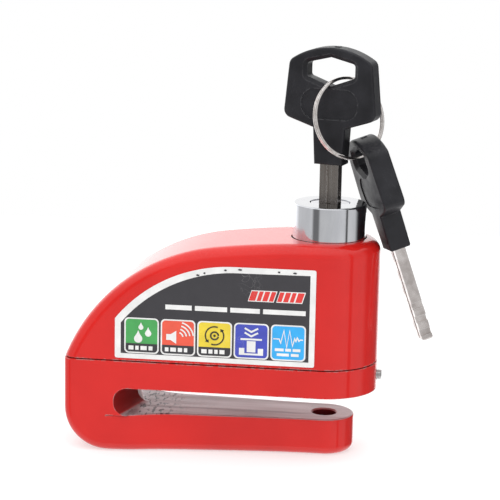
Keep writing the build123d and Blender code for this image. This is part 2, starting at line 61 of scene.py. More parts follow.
def addNode(tree, kind, values=None, **settings):
    node = tree.nodes.new(kind)
    for key, value in settings.items():
        setattr(node, key, value)
    for key, value in (values or {}).items():
        node.inputs[key].default_value = value
    return node


def join(tree, source, target):
    tree.links.new(source, target)


def mathNode(tree, operation, first, second=None, clamp=False):
    node = addNode(tree, "ShaderNodeMath", operation=operation, use_clamp=clamp)
    for index, value in enumerate((first, second)):
        if isinstance(value, bpy.types.NodeSocket):
            join(tree, value, node.inputs[index])
        elif value is not None:
            node.inputs[index].default_value = value
    return node.outputs[0]


def rangeNode(tree, source, low, high, toLow=0.0, toHigh=1.0):
    node = addNode(tree, "ShaderNodeMapRange", {1: low, 2: high, 3: toLow, 4: toHigh}, clamp=True)
    join(tree, source, node.inputs[0])
    return node.outputs[0]


def mixColours(tree, factor, first, second):
    node = addNode(tree, "ShaderNodeMix", data_type="RGBA")
    for socket, value in ((node.inputs[0], factor), (node.inputs[6], first), (node.inputs[7], second)):
        if isinstance(value, bpy.types.NodeSocket):
            join(tree, value, socket)
        else:
            socket.default_value = value
    return node.outputs[2]


def noiseNode(tree, vector, scale, detail=3.0, stretch=None):
    if stretch:
        mapping = addNode(tree, "ShaderNodeMapping", {"Scale": stretch})
        join(tree, vector, mapping.inputs["Vector"])
        vector = mapping.outputs[0]
    node = addNode(tree, "ShaderNodeTexNoise", {"Detail": detail})
    if isinstance(scale, bpy.types.NodeSocket):
        join(tree, scale, node.inputs["Scale"])
    else:
        node.inputs["Scale"].default_value = scale
    join(tree, vector, node.inputs["Vector"])
    return node.outputs["Fac"]


def product(tree, first, *others):
    for other in others:
        first = mathNode(tree, "MULTIPLY", first, other)
    return first


def objectPlace(tree):
    return addNode(tree, "ShaderNodeTexCoord").outputs["Object"]


def splitAxes(tree, vector):
    node = addNode(tree, "ShaderNodeSeparateXYZ")
    join(tree, vector, node.inputs[0])
    return node.outputs


def darker(colour, share):
    return tuple(share * part for part in colour[:3]) + (1,)


def startGroup(name, inputs, outputs):
    group = bpy.data.node_groups.new(name, "ShaderNodeTree")
    for label, value in inputs.items():
        socket = group.interface.new_socket(label, in_out="INPUT", socket_type="NodeSocketFloat")
        socket.default_value = value
    for label in outputs:
        group.interface.new_socket(label, in_out="OUTPUT", socket_type="NodeSocketFloat")
    return group, addNode(group, "NodeGroupInput"), addNode(group, "NodeGroupOutput")


# limits and fineness of the shared effects; a pair runs from where a mask is empty to where it is full
effects = {"edgeTurn": (0.995, 0.86), "edgeDetail": 4.0, "edgeBias": 0.25, "edgeContrast": 6.0,
           "grainTone": (0.3, 0.7), "brushTone": (0.35, 0.65), "hairline": 0.006,
           "hairlineTurns": (0.35, 1.25, 2.3), "hairlineStretch": 14, "patchScale": 70.0,
           "patchContrast": 8.0, "dustFacing": (0.2, 1.0), "dustScale": 1400.0, "dustSpecks": (0.5, 0.75)}


def buildEdgeWear():
    inputs = {"Radius": 0.0006, "Break": 900.0, "Amount": 0.5}
    group, given, result = startGroup("edgeWear", inputs, ["Mask"])
    bevel = addNode(group, "ShaderNodeBevel", samples=4)
    join(group, given.outputs["Radius"], bevel.inputs["Radius"])
    surface = addNode(group, "ShaderNodeNewGeometry")
    turn = addNode(group, "ShaderNodeVectorMath", operation="DOT_PRODUCT")
    join(group, bevel.outputs[0], turn.inputs[0])
    join(group, surface.outputs["Normal"], turn.inputs[1])
    edge = rangeNode(group, turn.outputs["Value"], *effects["edgeTurn"])
    patches = noiseNode(group, objectPlace(group), given.outputs["Break"], effects["edgeDetail"])
    threshold = mathNode(group, "SUBTRACT", 1.0, given.outputs["Amount"])
    worn = mathNode(group, "ADD", patches, effects["edgeBias"])
    worn = mathNode(group, "SUBTRACT", worn, threshold)
    worn = mathNode(group, "MULTIPLY", worn, effects["edgeContrast"], clamp=True)
    join(group, product(group, worn, edge), result.inputs["Mask"])
    return group


def buildFineGrain():
    group, given, result = startGroup("fineGrain", {"Scale": 4000.0, "Cloud": 90.0}, ["Height", "Tone"])
    place = objectPlace(group)
    grain = noiseNode(group, place, given.outputs["Scale"], 2.0)
    cloud = noiseNode(group, place, given.outputs["Cloud"], 3.0)
    join(group, grain, result.inputs["Height"])
    join(group, rangeNode(group, cloud, *effects["grainTone"]), result.inputs["Tone"])
    return group


def buildBrushLines():
    inputs = {"Scale": 60.0, "Along X": 1.0, "Along Y": 1.0, "Along Z": 1.0}
    group, given, result = startGroup("brushLines", inputs, ["Height", "Tone"])
    place = objectPlace(group)
    stretch = addNode(group, "ShaderNodeCombineXYZ")
    for index, label in enumerate(("Along X", "Along Y", "Along Z")):
        join(group, given.outputs[label], stretch.inputs[index])
    scaled = addNode(group, "ShaderNodeVectorMath", operation="MULTIPLY")
    join(group, place, scaled.inputs[0])
    join(group, stretch.outputs[0], scaled.inputs[1])
    lines = noiseNode(group, scaled.outputs[0], given.outputs["Scale"], 5.0)
    join(group, lines, result.inputs["Height"])
    join(group, rangeNode(group, lines, *effects["brushTone"]), result.inputs["Tone"])
    return group


def buildScratches():
    group, given, result = startGroup("fineScratches", {"Scale": 160.0, "Amount": 0.5}, ["Mask"])
    place = objectPlace(group)
    stretch = (1, effects["hairlineStretch"], 1)
    total = None
    for turn in effects["hairlineTurns"]:  # three families of hairlines, each its own way
        values = {"Rotation": (turn, turn * 0.7, turn), "Scale": stretch}
        mapping = addNode(group, "ShaderNodeMapping", values)
        join(group, place, mapping.inputs["Vector"])
        lines = noiseNode(group, mapping.outputs[0], given.outputs["Scale"], 1.0)
        middle = mathNode(group, "ABSOLUTE", mathNode(group, "SUBTRACT", lines, 0.5))
        thin = rangeNode(group, middle, effects["hairline"], 0.0)
        total = thin if total is None else mathNode(group, "MAXIMUM", total, thin)
    where = noiseNode(group, place, effects["patchScale"], 2.0)
    threshold = mathNode(group, "SUBTRACT", 1.0, given.outputs["Amount"])
    where = mathNode(group, "SUBTRACT", where, threshold)
    where = mathNode(group, "MULTIPLY", where, effects["patchContrast"], clamp=True)
    join(group, product(group, total, where), result.inputs["Mask"])
    return group


def buildSettledDust():
    group, given, result = startGroup("settledDust", {"Amount": 0.2}, ["Mask"])
    surface = addNode(group, "ShaderNodeNewGeometry")
    facing = splitAxes(group, surface.outputs["Normal"])
    upward = rangeNode(group, facing["Z"], *effects["dustFacing"])
    specks = noiseNode(group, objectPlace(group), effects["dustScale"], 5.0)
    specks = rangeNode(group, specks, *effects["dustSpecks"])
    join(group, product(group, upward, specks, given.outputs["Amount"]), result.inputs["Mask"])
    return group


groups = {"wear": buildEdgeWear(), "grain": buildFineGrain(), "brush": buildBrushLines(),
          "scratch": buildScratches(), "dust": buildSettledDust()}
print("shared effects:", ", ".join(groups))


def useGroup(tree, name, **values):
    node = addNode(tree, "ShaderNodeGroup", node_tree=groups[name])
    for key, value in values.items():
        node.inputs[key.replace("_", " ")].default_value = value
    return node


def startMaterial(name):
    material = bpy.data.materials.new(name)
    material.use_nodes = True
    tree = material.node_tree
    tree.nodes.clear()
    shader = addNode(tree, "ShaderNodeBsdfPrincipled")
    join(tree, shader.outputs[0], addNode(tree, "ShaderNodeOutputMaterial").inputs["Surface"])
    return material, tree, shader


def addBump(tree, shader, height, strength, distance):
    bump = addNode(tree, "ShaderNodeBump", {"Strength": strength, "Distance": distance})
    join(tree, height, bump.inputs["Height"])
    join(tree, bump.outputs[0], shader.inputs["Normal"])


lacquer = {"red": (0.62, 0.012, 0.009, 1), "deepRed": (0.54, 0.008, 0.006, 1),
           "primer": (0.30, 0.26, 0.25, 1), "dust": (0.55, 0.50, 0.48, 1), "dustAmount": 0.04,
           "roughness": 0.40, "wornRoughness": 0.6, "specular": 0.15, "coat": 0.85, "coatRoughness": 0.04,
           "peelScale": 300.0, "peelDepth": 0.000005, "wear": 0.34}


def redLacquer(name):
    material, tree, shader = startMaterial(name)
    shader.inputs["Specular IOR Level"].default_value = lacquer["specular"]
    shader.inputs["Coat Weight"].default_value = lacquer["coat"]
    shader.inputs["Coat Roughness"].default_value = lacquer["coatRoughness"]
    grain = useGroup(tree, "grain", Scale=lacquer["peelScale"], Cloud=45.0)
    wear = useGroup(tree, "wear", Radius=0.0005, Break=700.0, Amount=lacquer["wear"])
    dust = useGroup(tree, "dust", Amount=lacquer["dustAmount"])
    colour = mixColours(tree, grain.outputs["Tone"], lacquer["deepRed"], lacquer["red"])
    colour = mixColours(tree, wear.outputs["Mask"], colour, lacquer["primer"])
    colour = mixColours(tree, dust.outputs["Mask"], colour, lacquer["dust"])
    join(tree, colour, shader.inputs["Base Color"])
    rough = rangeNode(tree, wear.outputs["Mask"], 0.0, 1.0, lacquer["roughness"], lacquer["wornRoughness"])
    join(tree, rough, shader.inputs["Roughness"])
    addBump(tree, shader, grain.outputs["Height"], 0.5, lacquer["peelDepth"])
    return material, tree, shader, colour, rough


# arm-top colours: bare metal partly painted reflection, scars, scratches sharing a colour with the painted
# reflection line (strength "line"), and painted shade for the slot's end wall and the pin's hole
armTop = {"sheenMetal": (0.36, 0.31, 0.32, 1), "scratchAndReflection": (0.14, 0.10, 0.11, 1), "scar": (0.05, 0.035, 0.04, 1),
          "paleSheen": (0.46, 0.40, 0.415, 1), "slotShade": (0.16, 0.010, 0.010, 1), "boreShade": (0.045, 0.010, 0.012, 1),
          "roughness": 0.40, "polish": 0.12, "metallic": 0.35, "line": 0.55, "slotShadeShare": 0.85,
          "boreShadeShare": 0.9, "scarDepth": 2.0, "bumpDepth": 0.00005}
# where each kind of wear, painted shade and painted reflection lies, in metres; a pair runs from where it
# starts to where it is full
wearShadeAndSheenPlaces = {"top": 0.0113, "closedEnd": (-0.0622, -0.0612), "reflectionWaver": 0.0045, "reflectionSide": 0.0012,
              "reflectionWidth": (0.0013, 0.0002), "reflectionStart": (-0.002, -0.009), "scarStart": (-0.041, -0.050),
              "scarEnd": (-0.060, -0.056), "slotShadeStart": (-0.040, -0.048), "slotShadeRoof": (0.0186, 0.0180),
              "boreReach": (0.0042, 0.0037)}


# the arm's top face: bare metal, whose grey-mauve tone is partly a painted reflection of the pale backdrop
def bareMetalSheenMask(tree, spot, facing):
    top = wearShadeAndSheenPlaces["top"]
    upward = rangeNode(tree, facing["Z"], 0.55, 0.8)
    below = rangeNode(tree, spot["Z"], top + 0.0006, top + 0.0003)
    above = rangeNode(tree, spot["Z"], top - 0.0008, top - 0.0005)
    # nothing rubs past the slot's closed end
    inSlot = rangeNode(tree, spot["X"], *wearShadeAndSheenPlaces["closedEnd"])
    return product(tree, upward, below, above, inSlot)


def reflectionLineMask(tree, place, spot):
    # a painted reflection: a dark line runs along the middle, wavering a little
    waver = product(tree, noiseNode(tree, place, 55.0, 2.0), wearShadeAndSheenPlaces["reflectionWaver"])
    centre = mathNode(tree, "ADD", mathNode(tree, "ADD", spot["Y"], waver), wearShadeAndSheenPlaces["reflectionSide"])
    line = rangeNode(tree, mathNode(tree, "ABSOLUTE", centre), *wearShadeAndSheenPlaces["reflectionWidth"])
    return product(tree, line, rangeNode(tree, spot["X"], *wearShadeAndSheenPlaces["reflectionStart"]), armTop["line"])


def scarMask(tree, place, spot):
    # deep scars gather near the slot's closed end
    scars = rangeNode(tree, noiseNode(tree, place, 270.0, 6.0, (3.0, 1.1, 1.0)), 0.54, 0.60)
    nearEnd = product(tree, rangeNode(tree, spot["X"], *wearShadeAndSheenPlaces["scarStart"]),
                      rangeNode(tree, spot["X"], *wearShadeAndSheenPlaces["scarEnd"]))
    return product(tree, scars, nearEnd)


def slotEndShadeMask(tree, spot, facing):
    # painted shade: the slot's closed end keeps its lacquer but is dull, and its end wall is painted dark red
    # where shade falls in the slot
    top = wearShadeAndSheenPlaces["top"]
    return product(tree, rangeNode(tree, spot["X"], *wearShadeAndSheenPlaces["slotShadeStart"]),
                   rangeNode(tree, spot["Z"], *wearShadeAndSheenPlaces["slotShadeRoof"]),
                   rangeNode(tree, spot["Z"], top + 0.0001, top + 0.0008),
                   rangeNode(tree, facing["X"], 0.02, 0.25))


def boreShadeMask(tree, spot):
    # painted shade: the wall of the pin's hole, round the frame's Z axis, is painted dark
    flat = addNode(tree, "ShaderNodeCombineXYZ")
    join(tree, spot["X"], flat.inputs["X"])
    join(tree, spot["Y"], flat.inputs["Y"])
    reach = addNode(tree, "ShaderNodeVectorMath", operation="LENGTH")
    join(tree, flat.outputs[0], reach.inputs[0])
    top = wearShadeAndSheenPlaces["top"]
    return product(tree, rangeNode(tree, reach.outputs["Value"], *wearShadeAndSheenPlaces["boreReach"]),
                   rangeNode(tree, spot["Z"], top - 0.0001, top - 0.0006))


def jawMaterial():
    # the lacquer is worn off the arm's top face, where brake discs have rubbed; the bare metal's grey-mauve
    # tone is partly a painted reflection of the pale backdrop, and the slot's end wall and the pin's hole get
    # painted shade
    material, tree, shader, paint, rough = redLacquer("jawLacquer")
    place = objectPlace(tree)
    spot = splitAxes(tree, place)
    facing = splitAxes(tree, addNode(tree, "ShaderNodeNewGeometry").outputs["Normal"])
    bareSheen = bareMetalSheenMask(tree, spot, facing)
    scars = scarMask(tree, place, spot)
    shadedDullSlotEnd = slotEndShadeMask(tree, spot, facing)
    brush = useGroup(tree, "brush", Scale=300.0, Along_X=0.12, Along_Y=1.0, Along_Z=1.0)
    scratch = useGroup(tree, "scratch", Scale=260.0, Amount=0.55)
    # bare metal tone, partly a painted reflection of the pale backdrop
    sheenMetal = mixColours(tree, brush.outputs["Tone"], armTop["sheenMetal"], armTop["paleSheen"])
    # painted reflection: a dark line along the middle of the top face; the same colour also marks the
    # scratches below
    sheenMetal = mixColours(tree, reflectionLineMask(tree, place, spot), sheenMetal, armTop["scratchAndReflection"])
    sheenMetal = mixColours(tree, scars, sheenMetal, armTop["scar"])
    sheenMetal = mixColours(tree, scratch.outputs["Mask"], sheenMetal, armTop["scratchAndReflection"])
    # painted shade on the slot's closed end wall
    paint = mixColours(tree, product(tree, shadedDullSlotEnd, armTop["slotShadeShare"]), paint, armTop["slotShade"])
    # painted shade inside the pin's hole
    paint = mixColours(tree, product(tree, boreShadeMask(tree, spot), armTop["boreShadeShare"]), paint, armTop["boreShade"])
    join(tree, mixColours(tree, bareSheen, paint, sheenMetal), shader.inputs["Base Color"])
    polished = armTop["roughness"] - armTop["polish"]
    metalRough = rangeNode(tree, brush.outputs["Tone"], 0.0, 1.0, armTop["roughness"], polished)
    roughMix = addNode(tree, "ShaderNodeMix", data_type="FLOAT")
    join(tree, bareSheen, roughMix.inputs[0])
    join(tree, rough, roughMix.inputs[2])
    join(tree, metalRough, roughMix.inputs[3])
    join(tree, roughMix.outputs[0], shader.inputs["Roughness"])
    join(tree, product(tree, bareSheen, armTop["metallic"]), shader.inputs["Metallic"])
    uncoated = mathNode(tree, "MAXIMUM", bareSheen, shadedDullSlotEnd)
    covered = mathNode(tree, "SUBTRACT", 1.0, uncoated, clamp=True)
    join(tree, product(tree, covered, lacquer["coat"]), shader.inputs["Coat Weight"])
    height = mathNode(tree, "SUBTRACT", brush.outputs["Height"], product(tree, scars, armTop["scarDepth"]))
    addBump(tree, shader, product(tree, height, bareSheen), 0.6, armTop["bumpDepth"])
    return material


metals = {
    "chromePlate": {"bright": (0.80, 0.81, 0.84, 1), "dull": (0.70, 0.71, 0.75, 1), "rough": (0.05, 0.13),
                    "along": (1.0, 1.0, 0.25), "scale": 260.0, "depth": 0.000003, "scratch": 0.42,
                    "wear": 0.0, "end": 0.44},
    "pinSteel": {"bright": (0.60, 0.60, 0.62, 1), "dull": (0.42, 0.42, 0.44, 1), "rough": (0.18, 0.30),
                 "along": (0.2, 0.2, 2.0), "scale": 500.0, "depth": 0.000006, "scratch": 0.45, "wear": 0.3},
    "keySteel": {"bright": (0.60, 0.55, 0.51, 1), "dull": (0.30, 0.265, 0.24, 1), "rough": (0.18, 0.34),
                 "along": (3.0, 3.0, 0.12), "scale": 420.0, "depth": 0.000010, "scratch": 0.5, "wear": 0.4},
    "spareSteel": {"bright": (0.80, 0.75, 0.73, 1), "dull": (0.56, 0.51, 0.49, 1), "rough": (0.20, 0.34),
                   "along": (1.0, 1.0, 1.0), "scale": 300.0, "depth": 0.000008, "scratch": 0.5, "wear": 0.4},
    "ringSteel": {"bright": (0.90, 0.86, 0.84, 1), "dull": (0.66, 0.61, 0.58, 1), "rough": (0.08, 0.20),
                  "along": (1.0, 1.0, 1.0), "scale": 700.0, "depth": 0.000004, "scratch": 0.5, "wear": 0.3},
    "screwSteel": {"bright": (0.66, 0.65, 0.64, 1), "dull": (0.40, 0.39, 0.39, 1), "rough": (0.20, 0.36),
                   "along": (1.0, 1.0, 1.0), "scale": 900.0, "depth": 0.000006, "scratch": 0.45, "wear": 0.4},
    "springWire": {"bright": (0.62, 0.62, 0.64, 1), "dull": (0.36, 0.36, 0.38, 1), "rough": (0.22, 0.34),
                   "along": (1.0, 1.0, 3.0), "scale": 600.0, "depth": 0.000005, "scratch": 0.3, "wear": 0.0},
    "plugNickel": {"bright": (0.40, 0.40, 0.42, 1), "dull": (0.34, 0.34, 0.36, 1), "rough": (0.12, 0.22),
                   "along": (1.0, 1.0, 0.3), "scale": 420.0, "depth": 0.000004, "scratch": 0.5, "wear": 0.4},
    "discBrass": {"bright": (0.80, 0.62, 0.30, 1), "dull": (0.55, 0.40, 0.17, 1), "rough": (0.20, 0.34),
                  "along": (1.0, 1.0, 0.3), "scale": 500.0, "depth": 0.000005, "scratch": 0.4, "wear": 0.3},
    "cellSteel": {"bright": (0.80, 0.80, 0.80, 1), "dull": (0.62, 0.62, 0.62, 1), "rough": (0.14, 0.22),
                  "along": (0.3, 1.0, 1.0), "scale": 400.0, "depth": 0.000003, "scratch": 0.4, "wear": 0.2},
    "canAluminium": {"bright": (0.78, 0.79, 0.80, 1), "dull": (0.60, 0.61, 0.62, 1), "rough": (0.25, 0.36),
                     "along": (1.0, 1.0, 0.2), "scale": 600.0, "depth": 0.000004, "scratch": 0.3,
                     "wear": 0.0},
}


# marks that every metal and plastic shares: how far scratches show, and the tone of rubbed edges
marks = {"scratchTone": 0.35, "scratchDark": 0.45, "scratchRough": 0.2, "edge": (0.9, 0.89, 0.88, 1),
         "plasticScratch": 0.4, "plasticDust": (0.30, 0.29, 0.28, 1), "plasticSpecular": 0.32}


def metalFinish(name):
    values = metals[name]
    material, tree, shader = startMaterial(name)
    shader.inputs["Metallic"].default_value = 1.0
    alongX, alongY, alongZ = values["along"]
    brush = useGroup(tree, "brush", Scale=values["scale"], Along_X=alongX, Along_Y=alongY, Along_Z=alongZ)
    scratch = useGroup(tree, "scratch", Scale=320.0, Amount=values["scratch"])
    wear = useGroup(tree, "wear", Radius=0.0003, Break=1500.0, Amount=values["wear"])
    colour = mixColours(tree, brush.outputs["Tone"], values["dull"], values["bright"])
    faint = product(tree, scratch.outputs["Mask"], marks["scratchTone"])
    colour = mixColours(tree, faint, colour, darker(values["dull"], marks["scratchDark"]))
    colour = mixColours(tree, wear.outputs["Mask"], colour, marks["edge"])
    if "end" in values:  # the turned end face is greyer than the polished side
        facing = splitAxes(tree, addNode(tree, "ShaderNodeNewGeometry").outputs["Normal"])
        upward = rangeNode(tree, facing["Z"], 0.85, 0.98)
        colour = mixColours(tree, upward, colour, darker(values["bright"], values["end"]))
    join(tree, colour, shader.inputs["Base Color"])
    smooth, coarse = values["rough"]
    rough = rangeNode(tree, brush.outputs["Tone"], 0.0, 1.0, coarse, smooth)
    scuffed = mathNode(tree, "ADD", rough, product(tree, scratch.outputs["Mask"], marks["scratchRough"]))
    join(tree, scuffed, shader.inputs["Roughness"])
    addBump(tree, shader, brush.outputs["Height"], 0.5, values["depth"])
    return material


plastics = {
    "keyPlastic": {"dark": (0.009, 0.009, 0.011, 1), "light": (0.019, 0.019, 0.023, 1), "rough": (0.40, 0.54),
                   "grain": 2600.0, "depth": 0.00007, "wear": 0.38, "worn": (0.07, 0.07, 0.075, 1),
                   "dust": 0.08},
    "moulding": {"dark": (0.030, 0.030, 0.034, 1), "light": (0.050, 0.050, 0.056, 1), "rough": (0.45, 0.6),
                 "grain": 3000.0, "depth": 0.00002, "wear": 0.2, "worn": (0.12, 0.12, 0.12, 1), "dust": 0.05},
    "sealRubber": {"dark": (0.016, 0.015, 0.015, 1), "light": (0.030, 0.028, 0.028, 1), "rough": (0.62, 0.8),
                   "grain": 2600.0, "depth": 0.00002, "wear": 0.1, "worn": (0.07, 0.07, 0.07, 1),
                   "dust": 0.2},
    "boardMask": {"dark": (0.010, 0.11, 0.050, 1), "light": (0.018, 0.18, 0.085, 1), "rough": (0.25, 0.4),
                  "grain": 2400.0, "depth": 0.00001, "wear": 0.2, "worn": (0.30, 0.32, 0.18, 1),
                  "dust": 0.05},
    "chipResin": {"dark": (0.014, 0.014, 0.015, 1), "light": (0.024, 0.024, 0.025, 1), "rough": (0.5, 0.65),
                  "grain": 4200.0, "depth": 0.00002, "wear": 0.0, "worn": (0.1, 0.1, 0.1, 1), "dust": 0.05},
}


def plasticFinish(name):
    values = plastics[name]
    material, tree, shader = startMaterial(name)
    shader.inputs["Specular IOR Level"].default_value = marks["plasticSpecular"]
    grain = useGroup(tree, "grain", Scale=values["grain"], Cloud=140.0)
    wear = useGroup(tree, "wear", Radius=0.0005, Break=1200.0, Amount=values["wear"])
    dust = useGroup(tree, "dust", Amount=values["dust"])
    scratch = useGroup(tree, "scratch", Scale=240.0, Amount=0.46)
    colour = mixColours(tree, grain.outputs["Tone"], values["dark"], values["light"])
    faint = product(tree, scratch.outputs["Mask"], marks["plasticScratch"])
    rub = mathNode(tree, "MAXIMUM", wear.outputs["Mask"], faint)
    colour = mixColours(tree, rub, colour, values["worn"])
    colour = mixColours(tree, dust.outputs["Mask"], colour, marks["plasticDust"])
    join(tree, colour, shader.inputs["Base Color"])
    rough = rangeNode(tree, grain.outputs["Tone"], 0.0, 1.0, *values["rough"])
    join(tree, rough, shader.inputs["Roughness"])
    addBump(tree, shader, grain.outputs["Height"], 0.55, values["depth"])
    return material


inks = {
    "inkWhite": (0.80, 0.80, 0.79, 1), "inkCharcoal": (0.030, 0.028, 0.034, 1),
    "inkGreen": (0.055, 0.36, 0.085, 1), "inkOrange": (0.80, 0.090, 0.045, 1),
    "inkYellow": (0.78, 0.60, 0.030, 1), "inkBlue": (0.045, 0.065, 0.47, 1),
    "inkCyan": (0.020, 0.40, 0.85, 1), "inkRed": (0.72, 0.030, 0.025, 1),
    "inkDark": (0.035, 0.030, 0.012, 1),
}
film = {"coat": 0.6, "coatRoughness": 0.12, "mottle": 0.86, "rub": 0.25, "rubbed": (0.5, 0.5, 0.5, 1),
        "rough": (0.42, 0.34), "depth": 0.000006}


def inkFinish(name):
    # printed film: a faint ink mottle under a thin glossy laminate
    material, tree, shader = startMaterial(name)
    shader.inputs["Coat Weight"].default_value = film["coat"]
    shader.inputs["Coat Roughness"].default_value = film["coatRoughness"]
    grain = useGroup(tree, "grain", Scale=1500.0, Cloud=260.0)
    scratch = useGroup(tree, "scratch", Scale=260.0, Amount=0.44)
    full = inks[name]
    colour = mixColours(tree, grain.outputs["Tone"], darker(full, film["mottle"]), full)
    rub = product(tree, scratch.outputs["Mask"], film["rub"])
    colour = mixColours(tree, rub, colour, film["rubbed"])
    join(tree, colour, shader.inputs["Base Color"])
    rough = rangeNode(tree, grain.outputs["Tone"], 0.0, 1.0, *film["rough"])
    join(tree, rough, shader.inputs["Roughness"])
    addBump(tree, shader, grain.outputs["Height"], 0.3, film["depth"])
    return material


finishes = {"jawLacquer": jawMaterial(), "coverLacquer": redLacquer("coverLacquer")[0]}
finishes.update({name: metalFinish(name) for name in metals})
finishes.update({name: plasticFinish(name) for name in plastics})
finishes.update({name: inkFinish(name) for name in inks})
print("materials:", len(finishes))

nodeFinish = {
    "lower_body": "jawLacquer", "upper_shell": "coverLacquer", "shell_gasket": "sealRubber",
    "wiper_ring": "sealRubber", "lock_cylinder": "chromePlate", "locking_pin": "pinSteel",
    "latch_bolt": "pinSteel", "cam": "screwSteel", "switch_tab": "screwSteel", "tab_screw": "screwSteel",
    "cover_screw": "screwSteel", "guide_screw": "screwSteel", "board_screws": "screwSteel",
    "return_spring": "springWire", "latch_spring": "springWire", "battery_contacts": "springWire",
    "key_plug": "plugNickel", "tumbler_discs": "discBrass", "key_blade": "keySteel",
    "spare_key_blade": "spareSteel", "key_head": "keyPlastic", "spare_key_head": "keyPlastic",
    "split_ring": "ringSteel", "front_label": "inkWhite", "alarm_tray": "moulding",
    "battery_holder": "moulding", "arming_switch": "moulding", "switch_plunger": "moulding",
    "siren": "moulding", "button_cells": "cellSteel", "circuit_board": "boardMask",
    "control_chip": "chipResin", "shock_sensor": "canAluminium", "capacitor": "canAluminium",
}
for name, node in nodes.items():
    node.data.materials.clear()
    node.data.materials.append(finishes[nodeFinish[name]])
print("finishes on CAD nodes:", len(nodeFinish))


def meshPiece(name, points, faces, finish, body, smooth=False):
    mesh = bpy.data.meshes.new(name)
    mesh.from_pydata(points, [], faces)
    mesh.validate()
    built = bmesh.new()
    built.from_mesh(mesh)
    bmesh.ops.recalc_face_normals(built, faces=built.faces)
    built.to_mesh(mesh)
    built.free()
    if smooth:
        mesh.polygons.foreach_set("use_smooth", [True] * len(mesh.polygons))
    piece = bpy.data.objects.new(name, mesh)
    bpy.context.scene.collection.objects.link(piece)
    mesh.materials.append(finishes[finish])
    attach(piece, body)
    return piece


# label prints: flat shapes in millimetres, x to the right and z up, laid on the film in layers
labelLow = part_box("front_label")[0]
printStep = 0.00003
field = {"left": -60.0, "right": -3.7, "bottom": 31.0, "rightTop": 57.2, "leftTop": 40.4,
         "curveStart": (-26.6, 57.0), "curveMiddle": (-45.4, 52.2)}
tile = {"left": -58.9, "bottom": 31.2, "pitch": 10.97, "wide": 10.4, "tall": 10.9, "corner": 1.3, "rim": 0.42,
        "footer": 2.6}
tileLefts = [tile["left"] + tile["pitch"] * i for i in range(5)]
# each chip's left end, height and width
chipSpots = [(-37.6, 55.9, 1.1), (-35.4, 56.6, 0.7), (-29.3, 57.75, 0.9), (-25.2, 58.1, 1.3),
             (-13.4, 57.9, 0.8), (-8.9, 57.8, 1.2)]


def arcPoints(centre, radius, start, end, steps=10):
    angles = [radians(start + (end - start) * i / steps) for i in range(steps + 1)]
    return [(centre[0] + radius * cos(a), centre[1] + radius * sin(a)) for a in angles]


def roundRect(left, bottom, wide, tall, corner):
    right, top = left + wide - corner, bottom + tall - corner
    left, bottom = left + corner, bottom + corner
    return (arcPoints((right, bottom), corner, -90, 0, 5) + arcPoints((right, top), corner, 0, 90, 5)
            + arcPoints((left, top), corner, 90, 180, 5) + arcPoints((left, bottom), corner, 180, 270, 5))


def arcBand(centre, radius, wide, start, end, steps=14):
    outer = arcPoints(centre, radius + wide / 2, start, end, steps)
    return outer + arcPoints(centre, radius - wide / 2, end, start, steps)


def strip(points, wide):
    # a line of even width through the points, mitred at its corners
    sides = ([], [])
    for i, point in enumerate(points):
        here = Vector(point)
        before = (here - Vector(points[i - 1])).normalized() if i else None
        after = (Vector(points[i + 1]) - here).normalized() if i + 1 < len(points) else None
        along = ((before or after) + (after or before)).normalized()
        across = Vector((-along.y, along.x))
        lean = across.dot(Vector((-(after or before).y, (after or before).x)))
        across *= wide / 2 / max(lean, 0.35)
        sides[0].append(tuple(here + across))
        sides[1].append(tuple(here - across))
    return sides[0] + sides[1][::-1]


def printShapes(name, outlines, layer, finish):
    points, faces = [], []
    for outline in outlines:
        count, start = len(outline), len(points)
        for lift in (layer - 0.6, layer):
            points += [(x * mm, labelLow.y - lift * printStep, z * mm) for x, z in outline]
        faces.append([start + i for i in range(count)])
        faces.append([start + count + i for i in reversed(range(count))])
        faces += [[start + i, start + (i + 1) % count, start + count + (i + 1) % count, start + count + i]
                  for i in range(count)]
    meshPiece(name, points, faces, finish, "lock_body")


def throughArc(first, middle, last, steps):
    # points on the circle through three points
    (ax, ay), (bx, by), (cx, cy) = first, middle, last
    d = 2 * (ax * (by - cy) + bx * (cy - ay) + cx * (ay - by))
    a2, b2, c2 = ax * ax + ay * ay, bx * bx + by * by, cx * cx + cy * cy
    centre = ((a2 * (by - cy) + b2 * (cy - ay) + c2 * (ay - by)) / d,
              (a2 * (cx - bx) + b2 * (ax - cx) + c2 * (bx - ax)) / d)
    start = atan2(ay - centre[1], ax - centre[0])
    end = atan2(cy - centre[1], cx - centre[0])
    radius = Vector((ax - centre[0], ay - centre[1])).length
    return [(centre[0] + radius * cos(start + (end - start) * i / steps),
             centre[1] + radius * sin(start + (end - start) * i / steps)) for i in range(steps + 1)]


def buildField():
    start, middle = field["curveStart"], field["curveMiddle"]
    outline = [(field["left"], field["bottom"]), (field["right"], field["bottom"]),
               (field["right"], field["rightTop"]), start]
    outline += throughArc(start, middle, (field["left"], field["leftTop"]), 20)[1:]
    printShapes("labelField", [outline], 1, "inkCharcoal")


